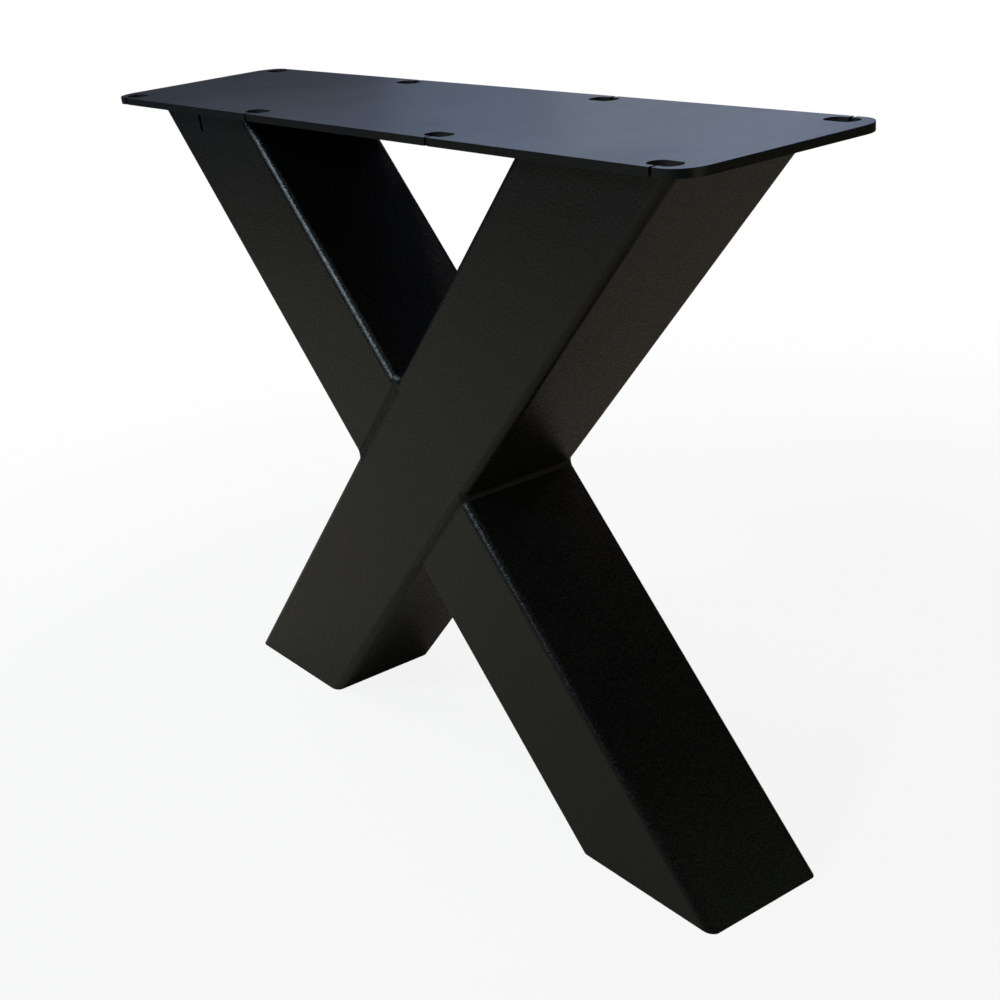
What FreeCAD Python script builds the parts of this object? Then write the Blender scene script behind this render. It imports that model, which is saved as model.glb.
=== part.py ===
import FreeCAD, Part
import math
import os
from FreeCAD import Placement, Rotation, Vector

# X shaped table leg, welded from square steel tube under a slotted mounting plate
#
# Frame: the origin is on the floor, below the middle of the plate. X runs along
# the plate, Y across it, from the front to the back, and Z points up.
# The long tube runs in one length from the left foot to the plate's right end.
# The other tube is cut in two halves, each butted against a side of the long one.

# Overall sizes, in millimetres
overall_height = 400.0
tube_spread = 500.0

# Square tube
tube_size = 80.0
tube_wall = 2.5
tube_corner_radius = 5.0

# Mounting plate, which reaches past the tubes at its ends and along its sides
plate_end_overhang = 25.0
plate_side_overhang = 20.0
plate_thickness = 4.0
plate_corner_radius = 15.0

# Slots for the screws into the table top, each with a slit out to the near long edge
slot_length = 19.0
slot_width = 10.0
slot_end_distance = 20.0
slot_edge_distance = 8.5
inner_slot_spacing = 184.0
slit_width = 2.0

# Vent slit in the front wall of the upper half tube, just under the plate
vent_slit_drop = 4.0
vent_slit_length = 12.0
vent_slit_width = 3.0

# Flat caps that close the feet
foot_cap_thickness = 3.0
foot_cap_clearance = 0.2

# Weld beads: the leg lies along each joined face, the throat spans the corner between them.
# The vee beads are above and below the crossing, and the side beads at its left and right.
vee_bead_leg = 5.0
vee_bead_throat = 3.0
side_bead_leg = 2.6
side_bead_throat = 1.4
plate_bead_leg = 3.0
bead_root_depth = 0.5

# Sizes worked out from those above
tube_height = overall_height - plate_thickness
crossing_height = tube_height / 2
tube_diagonal = math.hypot(tube_spread, tube_height)
tube_lean = math.atan2(tube_spread, tube_height) - math.asin(tube_size / tube_diagonal)
tube_inner_size = tube_size - 2 * tube_wall
tube_inner_radius = max(tube_corner_radius - tube_wall, 0.0)
crossing = Vector(0, 0, crossing_height)
plate_length = tube_spread + 2 * plate_end_overhang
plate_width = tube_size + 2 * plate_side_overhang
outer_slot_spacing = plate_length - 2 * slot_end_distance
slot_row_spacing = plate_width - 2 * slot_edge_distance
mouth_offset = crossing_height * math.tan(tube_lean)
trim_reach = 2 * (overall_height + tube_spread)

# Which way a tube leans: towards +X or towards -X at its top
LEAN_RIGHT = 1
LEAN_LEFT = -1


def rounded_bar(width, depth, radius, length):
    """A bar along Z with rounded long edges, centred on the origin."""
    bar = Part.makeBox(width, depth, length, Vector(-width / 2, -depth / 2, -length / 2))
    if radius <= 0:
        return bar
    long_edges = [edge for edge in bar.Edges if abs(edge.tangentAt(0).z) > 0.5]
    return bar.makeFillet(radius, long_edges)


def slab(bottom, top):
    """Everything between two heights, used to trim the leaning tubes."""
    corner = Vector(-trim_reach / 2, -trim_reach / 2, bottom)
    return Part.makeBox(trim_reach, trim_reach, top - bottom, corner)


def leaning(shape, direction):
    """Moves a shape from the origin to the crossing and leans it along a tube."""
    leaned = shape.copy()
    leaned.Placement = Placement(crossing, Rotation(Vector(0, 1, 0), direction * math.degrees(tube_lean)))
    return leaned


def tube_outside(direction):
    return leaning(rounded_bar(tube_size, tube_size, tube_corner_radius, trim_reach), direction)


def tube_inside(direction, clearance=0.0):
    size = tube_inner_size - 2 * clearance
    radius = max(tube_inner_radius - clearance, 0.0)
    return leaning(rounded_bar(size, size, radius, trim_reach), direction)


def trimmed_tube(direction):
    """A whole tube, cut flat at the floor and at the underside of the plate."""
    walls = tube_outside(direction).cut(tube_inside(direction))
    return walls.common(slab(0, tube_height))


def long_tube_path():
    """The space between the two side faces that the half tubes butt against."""
    corner = Vector(-tube_size / 2, -trim_reach / 2, -trim_reach / 2)
    return leaning(Part.makeBox(tube_size, trim_reach, trim_reach, corner), LEAN_RIGHT)


def half_tubes():
    """The two halves of the cut tube, the upper one first."""
    halves = trimmed_tube(LEAN_LEFT).cut(long_tube_path()).Solids
    return sorted(halves, key=lambda half: half.CenterOfMass.z, reverse=True)


def obround(length, width, height):
    """A slot cutter with round ends, its length along X, standing on the XY plane."""
    straight = max(length - width, 0.0)
    cutter = Part.makeCylinder(width / 2, height, Vector(-straight / 2, 0, 0))
    if straight > 0:
        middle = Part.makeBox(straight, width, height, Vector(-straight / 2, -width / 2, 0))
        far_end = Part.makeCylinder(width / 2, height, Vector(straight / 2, 0, 0))
        cutter = cutter.fuse([middle, far_end]).removeSplitter()
    return cutter


def slot_centres():
    spacings = (inner_slot_spacing, outer_slot_spacing)
    xs = [side * spacing / 2 for spacing in spacings for side in (-1, 1)]
    return [(x, side * slot_row_spacing / 2) for x in xs for side in (-1, 1)]


def top_plate():
    plate = rounded_bar(plate_length, plate_width, plate_corner_radius, plate_thickness)
    plate.translate(Vector(0, 0, tube_height + plate_thickness / 2))
    cutters = []
    for x, y in slot_centres():
        slot = obround(slot_length, slot_width, plate_thickness)
        slot.translate(Vector(x, y, tube_height))
        slit = Part.makeBox(slit_width, slot_edge_distance, plate_thickness, Vector(x - slit_width / 2, 0, 0))
        slit.translate(Vector(0, y if y > 0 else y - slot_edge_distance, tube_height))
        cutters += [slot, slit]
    return plate.cut(cutters)


def vented(tube):
    """Cuts the vent slit, upright and midway across the tube's mouth, in the front wall."""
    cutter = obround(vent_slit_length, vent_slit_width, 2 * tube_wall)
    cutter.rotate(Vector(0, 0, 0), Vector(0, 1, 0), 90)
    cutter.rotate(Vector(0, 0, 0), Vector(0, 0, 1), 90)
    height = tube_height - vent_slit_drop - vent_slit_length / 2
    cutter.translate(Vector(-mouth_offset, -tube_size / 2 - tube_wall / 2, height))
    return tube.cut(cutter)


def foot_cap(direction):
    """A flat cap just inside a foot, flush with the cut end of the tube."""
    return tube_inside(direction, foot_cap_clearance).common(slab(0, foot_cap_thickness))


def corner_toes(corner, open_angle, up, leg, throat):
    """Toes and crown of a bead in a corner where two tube faces meet.

    The corner opens along the direction up, by open_angle between the faces.
    """
    half = open_angle / 2
    side = Vector(up.z, 0, -up.x)
    along_first = up * math.cos(half) - side * math.sin(half)
    along_second = up * math.cos(half) + side * math.sin(half)
    first = corner + along_first * leg
    second = corner + along_second * leg
    return first, corner + up * throat, second


def joint_collar():
    """A solid band round the upper butt joint, with hollow faces in its two corners.

    It reaches through both tubes; what the tubes leave of it is the weld metal.
    """
    rise = tube_size / 2 / math.sin(tube_lean)
    reach = tube_size / 2 / math.cos(tube_lean)
    top_corner = crossing + Vector(0, 0, rise)
    left_corner = crossing + Vector(-reach, 0, 0)
    up, left = Vector(0, 0, 1), Vector(-1, 0, 0)
    top_toes = corner_toes(top_corner, 2 * tube_lean, up, vee_bead_leg, vee_bead_throat)
    left_toes = corner_toes(left_corner, math.pi - 2 * tube_lean, left, side_bead_leg, side_bead_throat)
    into_long_tube = Vector(math.cos(tube_lean), 0, -math.sin(tube_lean)) * (2 * tube_corner_radius)
    top_half_toe, top_crown, top_long_toe = top_toes
    left_long_toe, left_crown, left_half_toe = left_toes
    deep_top = top_long_toe + into_long_tube
    deep_left = left_long_toe + into_long_tube
    outline = Part.Wire([
        Part.Arc(top_half_toe, top_crown, top_long_toe).toShape(),
        Part.makeLine(top_long_toe, deep_top),
        Part.makeLine(deep_top, deep_left),
        Part.makeLine(deep_left, left_long_toe),
        Part.Arc(left_long_toe, left_crown, left_half_toe).toShape(),
        Part.makeLine(left_half_toe, top_half_toe),
    ])
    face = Part.Face(outline)
    face.translate(Vector(0, -tube_size / 2, 0))
    collar = face.extrude(Vector(0, tube_size, 0))
    hollow_edges = [edge for edge in collar.Edges if edge.Curve.TypeId == "Part::GeomCircle"]
    return collar.makeFillet(tube_corner_radius, hollow_edges)


def joint_weld(turn):
    """Weld metal round one butt joint: ground flush in front and behind, filleted in the corners."""
    half_tube_outside = tube_outside(LEAN_LEFT).cut(long_tube_path())
    weld = joint_collar().cut([tube_outside(LEAN_RIGHT), half_tube_outside])
    weld.rotate(crossing, Vector(0, 1, 0), turn)
    return weld


def mouth_wire(size, radius, direction, height):
    """Outline of a leaning square bar where a level plane cuts it."""
    section = leaning(rounded_bar(size, size, radius, trim_reach), direction).slice(Vector(0, 0, 1), height)
    return Part.Wire(section[0])


def plate_weld(direction):
    """Fillet bead round the mouth of a tube, in the corner under the plate."""
    root_size = tube_size - 2 * bead_root_depth
    root_radius = tube_corner_radius - bead_root_depth
    toe_size = tube_size + 2 * plate_bead_leg
    toe_radius = tube_corner_radius + plate_bead_leg
    root = mouth_wire(root_size, root_radius, direction, tube_height - plate_bead_leg)
    toe = mouth_wire(toe_size, toe_radius, direction, tube_height)
    bead = Part.makeLoft([root, toe], True, True)
    return bead.cut(tube_outside(direction))


def all_pieces():
    upper_half, lower_half = half_tubes()
    return {
        "top_plate": top_plate(),
        "long_tube": trimmed_tube(LEAN_RIGHT),
        "upper_half_tube": vented(upper_half),
        "lower_half_tube": lower_half,
        "left_foot_cap": foot_cap(LEAN_RIGHT),
        "right_foot_cap": foot_cap(LEAN_LEFT),
        "upper_joint_weld": joint_weld(0),
        "lower_joint_weld": joint_weld(180),
        "left_plate_weld": plate_weld(LEAN_LEFT),
        "right_plate_weld": plate_weld(LEAN_RIGHT),
    }


os.makedirs("parts", exist_ok=True)
for name, shape in all_pieces().items():
    shape.exportStep("parts/" + name + ".step")
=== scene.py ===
import math
from typing import Callable, NamedTuple

import bpy
from mathutils import Matrix, Vector

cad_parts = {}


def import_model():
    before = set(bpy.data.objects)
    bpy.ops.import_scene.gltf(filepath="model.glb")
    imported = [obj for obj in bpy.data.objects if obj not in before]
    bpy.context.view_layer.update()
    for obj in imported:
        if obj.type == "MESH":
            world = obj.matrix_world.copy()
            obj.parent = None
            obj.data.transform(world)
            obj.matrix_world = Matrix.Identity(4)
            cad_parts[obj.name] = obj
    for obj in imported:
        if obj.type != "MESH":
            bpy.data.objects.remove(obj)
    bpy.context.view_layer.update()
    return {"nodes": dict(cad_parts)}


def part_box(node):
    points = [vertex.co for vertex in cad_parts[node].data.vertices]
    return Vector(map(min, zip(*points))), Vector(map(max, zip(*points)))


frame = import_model()

# X shaped table leg in black powder coat, lit and seen as in the photograph.
# Lengths are in metres. X runs along the mounting plate, Y across it to the back, and Z up.

# The pieces that are named here
PLATE_NODE = "top_plate"
LONG_TUBE_NODE = "long_tube"
DULL_WELD_NODES = ("lower_joint_weld", "left_plate_weld", "right_plate_weld")

# Sizes from the frame. The long tube is cut flat at both ends, so its box gives its lean.
tube_low, tube_high = (Vector(corner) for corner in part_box(LONG_TUBE_NODE))
PLATE_HALF_LENGTH, PLATE_HALF_WIDTH, PLATE_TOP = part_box(PLATE_NODE)[1]
TUBE_SPREAD, TUBE_SIZE, TUBE_HEIGHT = tube_high - tube_low
TUBE_HALF = TUBE_SIZE / 2
TUBE_DIAGONAL = math.hypot(TUBE_SPREAD, TUBE_HEIGHT)
TUBE_LEAN = math.atan2(TUBE_SPREAD, TUBE_HEIGHT) - math.asin(TUBE_SIZE / TUBE_DIAGONAL)
CROSSING_HEIGHT = TUBE_HEIGHT / 2

# The photograph's view, with the photograph taken as 1000 by 1000 pixels. Angles are in degrees:
# the azimuth turns from +Y towards -X, the elevation looks down, and the roll lifts the right side.
PHOTO_SIZE = 1000
CAMERA_PLACE = Vector((0.7449, -0.4803, 0.5177))
CAMERA_AZIMUTH = 56.16
CAMERA_ELEVATION = 27.65
CAMERA_ROLL = -6.14
FOCAL_PIXELS = 1551.4
OPTICAL_CENTRE = (512.0, 666.2)
SENSOR_WIDTH = 36.0
CLIP_NEAR = 0.01
CLIP_FAR = 100.0

# Colours, linear. A coat's tones are its darkest and its lightest.
WHITE = (1.0, 1.0, 1.0, 1.0)
TUBE_TONES = ((0.0010, 0.0012, 0.0011, 1.0), (0.0078, 0.0081, 0.0079, 1.0))
# The plate's tones carry a painted blue tint, which stands in for the bluish light that its top reflects
PLATE_TONES_PAINTED_BLUE = ((0.0022, 0.0025, 0.0031, 1.0), (0.0058, 0.0065, 0.0080, 1.0))
# The dark colour of the ground seams and blotches, also used as painted shade on the walls of the plate's
# slots
MARK_AND_SHADE_COLOUR = (0.0008, 0.0009, 0.0009, 1.0)
FLOOR_PALE = (0.90, 0.90, 0.90, 1.0)
FLOOR_BOUNCE = (0.42, 0.37, 0.30, 1.0)
ROOM_COLOUR = (0.55, 0.60, 0.68, 1.0)

# The coats: a fine speckle, whose size is each coat's own, over a broad cloud. Scales are in cells a
# metre, and a range is the part of a noise's values that is spread over the full change.
SPECKLE_RANGE = (0.35, 0.65)
SPECKLE_SHARE = 0.7
CLOUD_SCALE = 14.0
CLOUD_RANGE = (0.3, 0.7)
CLOUD_SATIN = 0.02
MARK_ROUGHNESS = 0.35

# The ground seams along the long tube's side faces, at the crossing
UPPER_SEAM_INSET = 0.0025
UPPER_SEAM_HALF_WIDTH = 0.0030
LOWER_SEAM_OUTSET = 0.0010
LOWER_SEAM_HALF_WIDTH = 0.0014
SEAM_END_BLUR = 0.0005
SEAM_WOBBLE = 0.0020
WOBBLE_SCALE = 200.0
MOTTLE_SCALE = 420.0
MOTTLE_RANGE = (0.4, 0.6)
MOTTLE_LEAST = 0.4

# The plate's marks: blotches from handling, and painted shade on the walls of the slots, where a dark
# rough coat stands in for the shade inside them
BLOTCH_SCALE = 24.0
BLOTCH_RANGE = (0.48, 0.75)
BLOTCH_STRENGTH = 0.08
SLOT_LENGTH = 0.019
SLOT_WIDTH = 0.010
SLOT_END_DISTANCE = 0.020
SLOT_EDGE_DISTANCE = 0.0085
INNER_SLOT_PLACE = 0.092
# How far the painted shade in the slots reaches past their walls and below the plate's top
SLOT_SHADE_PAST_WALL = 0.0003
SLOT_SHADE_BELOW_TOP = 0.0002

# The stage. The floor is white from FLOOR_FAR on. Nearer the leg, a part of it is lit by the lamps, so
# that it keeps the shadow. The room has a dim light, and the coat shows a share of the white backdrop.
FLOOR_REACH = 30.0
FLOOR_NEAR = 0.40
FLOOR_FAR = 1.00
FLOOR_GLOW = 0.88
AMBIENT = 0.01
BACKDROP_IN_COAT = 0.01

# Where the lamps aim
MIDDLE = (0.0, 0.0, PLATE_TOP / 2)
PLATE_MIDDLE = (0.0, 0.0, PLATE_TOP)
UPPER_LEFT = (-0.1, 0.0, 0.3)

# The panels at the left, whose reflection the plate's top shows: strips along Y, one above the other,
# and upright backdrops on a circle round the leg
STRIP_X = -1.0
STRIP_Y = 0.9
STRIP_SIZE = (1.7, 0.15)
BACKDROP_DISTANCE = 2.14
BACKDROP_HEIGHT = 0.85
BACKDROP_TALL = 1.0


class Shader:
    """Short helper for building a node tree from code."""

    def __init__(self, tree):
        self.tree = tree
        self.tree.nodes.clear()

    def add(self, kind, **settings):
        node = self.tree.nodes.new(kind)
        for name, value in settings.items():
            setattr(node, name, value)
        return node

    def link(self, source, target):
        self.tree.links.new(source, target)

    def place(self):
        return self.add("ShaderNodeTexCoord").outputs["Object"]

    def noise(self, vector, scale, detail, roughness):
        node = self.add("ShaderNodeTexNoise")
        node.inputs["Scale"].default_value = scale
        node.inputs["Detail"].default_value = detail
        node.inputs["Roughness"].default_value = roughness
        self.link(vector, node.inputs["Vector"])
        return node.outputs["Fac"]

    def remap(self, value, low, high, to_low=0.0, to_high=1.0):
        """Spreads the values from low to high over another range, and holds them there outside."""
        node = self.add("ShaderNodeMapRange", clamp=True)
        limits = {"From Min": low, "From Max": high, "To Min": to_low, "To Max": to_high}
        for name, number in limits.items():
            node.inputs[name].default_value = number
        self.link(value, node.inputs["Value"])
        return node.outputs["Result"]

    def mix(self, factor, first, second):
        node = self.add("ShaderNodeMix", data_type="RGBA")
        self.link(factor, node.inputs["Factor"])
        for socket, value in ((node.inputs[6], first), (node.inputs[7], second)):
            if isinstance(value, tuple):
                socket.default_value = value
            else:
                self.link(value, socket)
        return node.outputs[2]

    def maths(self, operation, *values):
        node = self.add("ShaderNodeMath", operation=operation)
        for socket, value in zip(node.inputs, values):
            if isinstance(value, (int, float)):
                socket.default_value = value
            else:
                self.link(value, socket)
        return node.outputs[0]

    def distance(self, value, middle):
        return self.maths("ABSOLUTE", self.maths("SUBTRACT", value, middle))

    def near(self, value, middle, reach):
        """1 where a value is nearer than reach to the middle, and 0 elsewhere."""
        return self.maths("LESS_THAN", self.distance(value, middle), reach)

    def split(self, vector):
        node = self.add("ShaderNodeSeparateXYZ")
        self.link(vector, node.inputs[0])
        return node.outputs

    def bump(self, height, distance, normal=None):
        node = self.add("ShaderNodeBump")
        node.inputs["Distance"].default_value = distance
        self.link(height, node.inputs["Height"])
        if normal is not None:
            self.link(normal, node.inputs["Normal"])
        return node.outputs["Normal"]

    def diffuse(self, colour):
        node = self.add("ShaderNodeBsdfDiffuse")
        node.inputs["Color"].default_value = colour
        return node.outputs[0]

    def glow(self, kind, colour, strength):
        node = self.add(kind)
        node.inputs["Color"].default_value = colour
        node.inputs["Strength"].default_value = strength
        return node.outputs[0]

    def choose(self, share, first, second):
        """The first shader where the share is 0, and the second where it is 1."""
        node = self.add("ShaderNodeMixShader")
        self.link(share, node.inputs["Fac"])
        self.link(first, node.inputs[1])
        self.link(second, node.inputs[2])
        return node.outputs[0]

    def output(self, kind, surface):
        self.link(surface, self.add(kind).inputs["Surface"])

    def sees_backdrop(self):
        """How much of the white backdrop a ray sees: all for the camera and through glass,
        and a share in the coat, because the photograph's coat reflects a dim room."""
        path = self.add("ShaderNodeLightPath")
        in_coat = self.maths("MULTIPLY", path.outputs["Is Glossy Ray"], BACKDROP_IN_COAT)
        direct = self.maths("MAXIMUM", path.outputs["Is Camera Ray"], path.outputs["Is Transmission Ray"])
        return self.maths("MAXIMUM", direct, in_coat)


def new_material(name):
    material = bpy.data.materials.new(name)
    material.use_nodes = True
    return material, Shader(material.node_tree)


class Coat(NamedTuple):
    """How a powder coat looks.

    The speckle has a grain in cells a metre and a depth in metres, and fleck is how much it changes the
    roughness. Gloss is the specular level. Marks_and_shade is a function that places marks, and on the
    plate also painted shade in its slots, of a depth in metres.
    """
    name: str
    tones: tuple
    grain: float
    grain_depth: float
    roughness: float
    fleck: float
    gloss: float
    marks: Callable
    mark_depth: float


def powder_coat(coat):
    """Fine-textured satin black powder coat, darker and rougher where it has marks or painted shade."""
    material, s = new_material(coat.name)
    place = s.place()
    speckle = s.noise(place, coat.grain, detail=3.0, roughness=0.7)
    cloud = s.noise(place, CLOUD_SCALE, detail=4.0, roughness=0.6)
    # Where the coat has marks, and on the plate painted shade in the slots
    mark = coat.marks(s, place)
    speckle_tone = s.maths("MULTIPLY", s.remap(speckle, *SPECKLE_RANGE), SPECKLE_SHARE)
    cloud_tone = s.maths("MULTIPLY", s.remap(cloud, *CLOUD_RANGE), 1.0 - SPECKLE_SHARE)
    colour = s.mix(s.maths("ADD", speckle_tone, cloud_tone), *coat.tones)
    broad = s.remap(cloud, *CLOUD_RANGE, coat.roughness - CLOUD_SATIN, coat.roughness + CLOUD_SATIN)
    fine = s.remap(speckle, *SPECKLE_RANGE, -coat.fleck, coat.fleck)
    satin = s.maths("ADD", broad, fine)
    normal = s.bump(speckle, coat.grain_depth)
    shader = s.add("ShaderNodeBsdfPrincipled")
    shader.inputs["Specular IOR Level"].default_value = coat.gloss
    s.link(s.mix(mark, colour, MARK_AND_SHADE_COLOUR), shader.inputs["Base Color"])
    s.link(s.maths("ADD", satin, s.maths("MULTIPLY", mark, MARK_ROUGHNESS)), shader.inputs["Roughness"])
    s.link(s.bump(mark, -coat.mark_depth, normal), shader.inputs["Normal"])
    s.output("ShaderNodeOutputMaterial", shader.outputs["BSDF"])
    return material


def ground_seams(s, place):
    """Mottled bands where the joints at the crossing were ground flush.

    The upper seam lies just inside the long tube's left side, the lower one just outside its right side.
    """
    x, _, z = s.split(place)
    along_x = s.maths("MULTIPLY", x, math.cos(TUBE_LEAN))
    along_z = s.maths("MULTIPLY", s.maths("SUBTRACT", z, CROSSING_HEIGHT), math.sin(TUBE_LEAN))
    off_long = s.maths("SUBTRACT", along_x, along_z)
    off_cut = s.maths("ABSOLUTE", s.maths("ADD", along_x, along_z))
    joined = s.remap(off_cut, TUBE_HALF - SEAM_END_BLUR, TUBE_HALF + SEAM_END_BLUR, 1.0, 0.0)
    wobble = s.maths("MULTIPLY", s.noise(place, WOBBLE_SCALE, detail=3.0, roughness=0.6), SEAM_WOBBLE)
    seams = ((UPPER_SEAM_INSET - TUBE_HALF, UPPER_SEAM_HALF_WIDTH),
             (TUBE_HALF + LOWER_SEAM_OUTSET, LOWER_SEAM_HALF_WIDTH))
    bands = []
    for middle, half_width in seams:
        off_seam = s.maths("ADD", s.distance(off_long, middle), wobble)
        bands.append(s.remap(off_seam, half_width, half_width + SEAM_WOBBLE, 1.0, 0.0))
    mottle_noise = s.noise(place, MOTTLE_SCALE, detail=3.0, roughness=0.7)
    mottle = s.remap(mottle_noise, *MOTTLE_RANGE, MOTTLE_LEAST, 1.0)
    return s.maths("MULTIPLY", s.maths("MULTIPLY", s.maths("MAXIMUM", *bands), joined), mottle)


def plate_marks(s, place):
    """Faint blotches from handling, and painted shade: a dark, rough coat on the walls of the slots,
    which lie in shade.
    """
    blotch_noise = s.noise(place, BLOTCH_SCALE, detail=5.0, roughness=0.65)
    blotch = s.remap(blotch_noise, *BLOTCH_RANGE, 0.0, BLOTCH_STRENGTH)
    x, y, z = s.split(place)
    along, across = s.maths("ABSOLUTE", x), s.maths("ABSOLUTE", y)
    half_length, half_width = SLOT_LENGTH / 2 + SLOT_SHADE_PAST_WALL, SLOT_WIDTH / 2 + SLOT_SHADE_PAST_WALL
    slot_places = (INNER_SLOT_PLACE, PLATE_HALF_LENGTH - SLOT_END_DISTANCE)
    near_slot = s.maths("MAXIMUM", *(s.near(along, middle, half_length) for middle in slot_places))
    in_row = s.near(across, PLATE_HALF_WIDTH - SLOT_EDGE_DISTANCE, half_width)
    below_top = s.maths("LESS_THAN", z, PLATE_TOP - SLOT_SHADE_BELOW_TOP)
    # Painted shade: the walls of the slots are coloured dark and rough
    slot_wall_shade = s.maths("MULTIPLY", s.maths("MULTIPLY", near_slot, in_row), below_top)
    return s.maths("MAXIMUM", blotch, slot_wall_shade)


def dress(node_name, material):
    mesh = frame["nodes"][node_name].data
    for index in range(len(mesh.materials)):
        mesh.materials[index] = material


def dress_all():
    """Every piece gets the tube's coat, apart from the dull welds and the smooth plate."""
    tube = Coat(name="coat_tube", tones=TUBE_TONES, grain=600.0, grain_depth=0.00022, roughness=0.30,
                fleck=0.08, gloss=0.40, marks=ground_seams, mark_depth=0.0006)
    weld = tube._replace(name="coat_weld", roughness=0.40, fleck=0.05, gloss=0.32)
    # The plate's tones carry a painted blue tint for the light its top reflects
    plate = tube._replace(name="coat_plate", tones=PLATE_TONES_PAINTED_BLUE, grain=900.0, grain_depth=0.00003,
                          fleck=0.015, marks=plate_marks, mark_depth=0.0)
    tube_coat, weld_coat, plate_coat = (powder_coat(coat) for coat in (tube, weld, plate))
    coats = {PLATE_NODE: plate_coat, **dict.fromkeys(DULL_WELD_NODES, weld_coat)}
    for node_name in frame["nodes"]:
        dress(node_name, coats.get(node_name, tube_coat))


def area_light(name, place, aim, size, watts, colour, spread=180.0):
    """A soft box: a rectangular lamp at a place, facing a point, with a grid that narrows its spread."""
    lamp = bpy.data.lights.new(name, "AREA")
    lamp.shape = "RECTANGLE"
    lamp.size, lamp.size_y = size
    lamp.energy = watts
    lamp.color = colour
    lamp.spread = math.radians(spread)
    thing = bpy.data.objects.new(name, lamp)
    thing.location = place
    thing.rotation_euler = (Vector(aim) - Vector(place)).to_track_quat("-Z", "Y").to_euler()
    thing.visible_camera = False
    bpy.context.scene.collection.objects.link(thing)


def strip(name, height, watts, colour):
    """A long narrow panel along Y, at the left of the leg."""
    area_light(name, place=(STRIP_X, STRIP_Y, height), aim=(0.0, STRIP_Y, PLATE_TOP),
               size=STRIP_SIZE, watts=watts, colour=colour)


def backdrop(name, angle, width, watts, colour):
    """An upright panel behind the leg at the left. The angle turns from +X towards +Y."""
    x = BACKDROP_DISTANCE * math.cos(math.radians(angle))
    y = BACKDROP_DISTANCE * math.sin(math.radians(angle))
    area_light(name, place=(x, y, BACKDROP_HEIGHT), aim=PLATE_MIDDLE,
               size=(width, BACKDROP_TALL), watts=watts, colour=colour)


def light_scene():
    """Soft boxes in front, above, at the sides and behind, and the panels for the plate's top."""
    area_light("key", place=(-0.28, -1.68, 1.37), aim=UPPER_LEFT, size=(0.4, 0.4), watts=14.83,
               colour=(0.70, 0.89, 1.00))
    area_light("edge_light", place=(-0.69, -1.84, 0.89), aim=UPPER_LEFT, size=(0.3, 0.3), watts=3.20,
               colour=(0.74, 0.86, 1.00))
    area_light("top", place=(0.0, 0.0, 2.0), aim=MIDDLE, size=(1.5, 1.5), watts=8.89,
               colour=(1.00, 0.83, 0.65))
    area_light("top_left", place=(-1.3, -0.5, 1.6), aim=MIDDLE, size=(1.0, 1.0), watts=8.31,
               colour=(0.86, 1.00, 0.95))
    area_light("far_left", place=(-2.0, -0.6, 0.5), aim=MIDDLE, size=(1.0, 0.8), watts=0.17,
               colour=(0.34, 0.69, 1.00))
    area_light("right_low", place=(1.8, -0.1, 0.45), aim=MIDDLE, size=(1.0, 0.8), watts=1.50,
               colour=(1.00, 0.95, 0.85))
    area_light("right_back", place=(1.5, 0.9, 0.6), aim=MIDDLE, size=(0.8, 0.6), watts=0.70,
               colour=(0.78, 1.00, 0.57))
    area_light("floor_back", place=(0.25, 1.0, 1.0), aim=(0.05, 0.45, 0.0), size=(0.4, 0.4), watts=0.05,
               colour=(1.00, 0.90, 0.75), spread=60.0)
    area_light("overhead", place=(-0.2, 0.7, 1.3), aim=(-0.2, 0.7, 0.0), size=(1.0, 1.0), watts=0.32,
               colour=(0.50, 0.58, 1.00))
    strip("strip_low", height=0.82, watts=1.37, colour=(0.70, 0.80, 1.00))
    strip("strip_middle", height=1.00, watts=0.56, colour=(0.00, 0.33, 1.00))
    strip("strip_high", height=1.25, watts=0.43, colour=(0.00, 0.00, 1.00))
    backdrop("backdrop_right", angle=133.0, width=0.60, watts=0.62, colour=(0.76, 0.85, 1.00))
    backdrop("backdrop_left", angle=145.0, width=0.28, watts=0.20, colour=(0.53, 0.68, 1.00))


def world():
    """White behind the scene for the camera, a dim plain room for everything else."""
    room = bpy.data.worlds.new("room")
    room.use_nodes = True
    s = Shader(room.node_tree)
    white = s.glow("ShaderNodeBackground", WHITE, 1.0)
    dim = s.glow("ShaderNodeBackground", ROOM_COLOUR, AMBIENT)
    s.output("ShaderNodeOutputWorld", s.choose(s.sees_backdrop(), dim, white))
    bpy.context.scene.world = room


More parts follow.
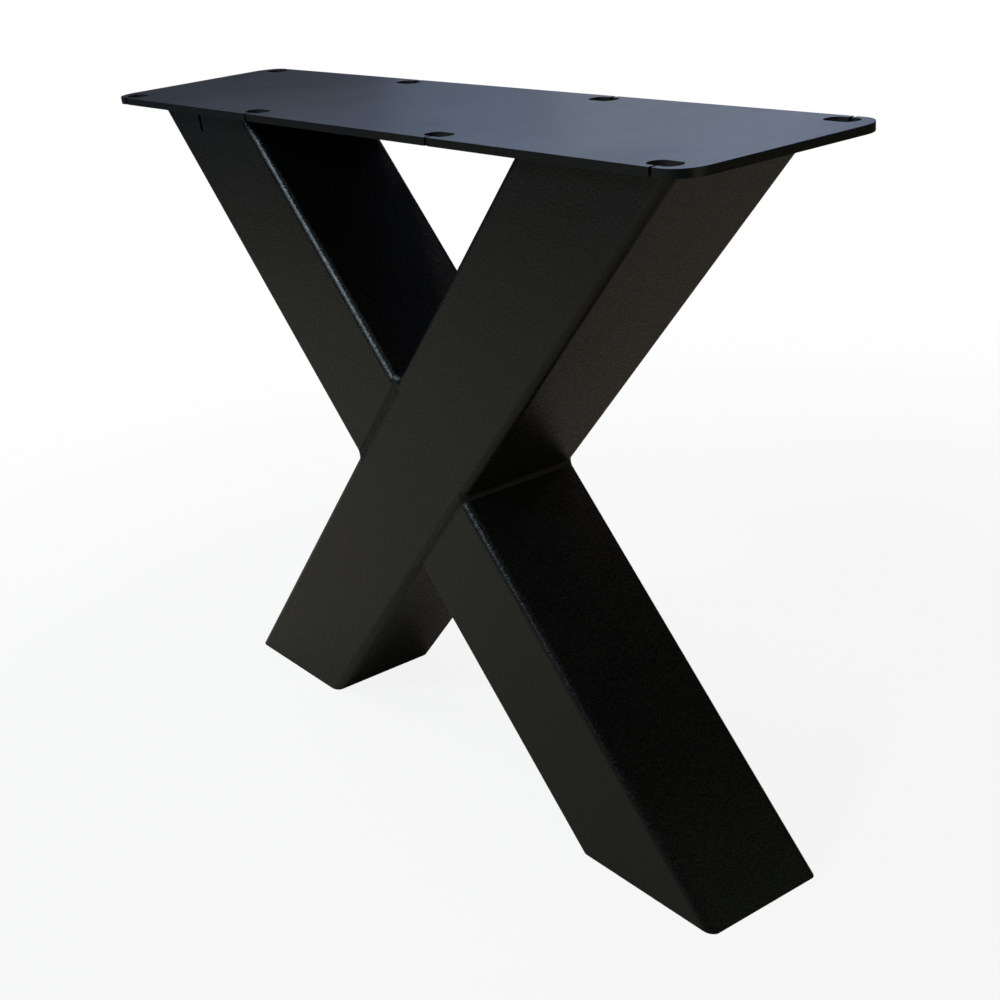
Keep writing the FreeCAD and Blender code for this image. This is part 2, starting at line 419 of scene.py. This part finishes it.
def floor_material():
    """What the camera sees is pale and turns to white further off. The leg gets a darker bounce."""
    material, s = new_material("floor")
    from_leg = s.add("ShaderNodeVectorMath", operation="LENGTH")
    s.link(s.place(), from_leg.inputs[0])
    white_share = s.remap(from_leg.outputs["Value"], FLOOR_NEAR, FLOOR_FAR, FLOOR_GLOW, 1.0)
    shown = s.choose(white_share, s.diffuse(FLOOR_PALE), s.glow("ShaderNodeEmission", WHITE, 1.0))
    surface = s.choose(s.sees_backdrop(), s.diffuse(FLOOR_BOUNCE), shown)
    s.output("ShaderNodeOutputMaterial", surface)
    return material


def floor():
    """A plain pale floor that keeps the leg's shadow."""
    low, high = -FLOOR_REACH, FLOOR_REACH
    corners = [(low, low, 0.0), (high, low, 0.0), (high, high, 0.0), (low, high, 0.0)]
    mesh = bpy.data.meshes.new("floor")
    mesh.from_pydata(corners, [], [(0, 1, 2, 3)])
    mesh.materials.append(floor_material())
    thing = bpy.data.objects.new("floor", mesh)
    bpy.context.scene.collection.objects.link(thing)


def camera():
    """The camera of the photograph, from its place, its three angles and its optical centre."""
    azimuth, elevation, roll = map(math.radians, (CAMERA_AZIMUTH, CAMERA_ELEVATION, CAMERA_ROLL))
    level = math.cos(elevation)
    ahead = Vector((-math.sin(azimuth) * level, math.cos(azimuth) * level, -math.sin(elevation)))
    right = ahead.cross(Vector((0, 0, 1))).normalized()
    up = right.cross(ahead)
    rolled_right = math.cos(roll) * right + math.sin(roll) * up
    rolled_up = math.cos(roll) * up - math.sin(roll) * right
    lens = bpy.data.cameras.new("photo_camera")
    lens.sensor_width = SENSOR_WIDTH
    lens.lens = FOCAL_PIXELS / PHOTO_SIZE * SENSOR_WIDTH
    lens.shift_x = 0.5 - OPTICAL_CENTRE[0] / PHOTO_SIZE
    lens.shift_y = OPTICAL_CENTRE[1] / PHOTO_SIZE - 0.5
    lens.clip_start = CLIP_NEAR
    lens.clip_end = CLIP_FAR
    thing = bpy.data.objects.new("photo_camera", lens)
    turn = Matrix((rolled_right, rolled_up, -ahead)).transposed()
    thing.matrix_world = Matrix.Translation(CAMERA_PLACE) @ turn.to_4x4()
    bpy.context.scene.collection.objects.link(thing)
    bpy.context.scene.camera = thing


dress_all()
light_scene()
world()
floor()
camera()
bpy.context.scene.view_settings.view_transform = "Standard"
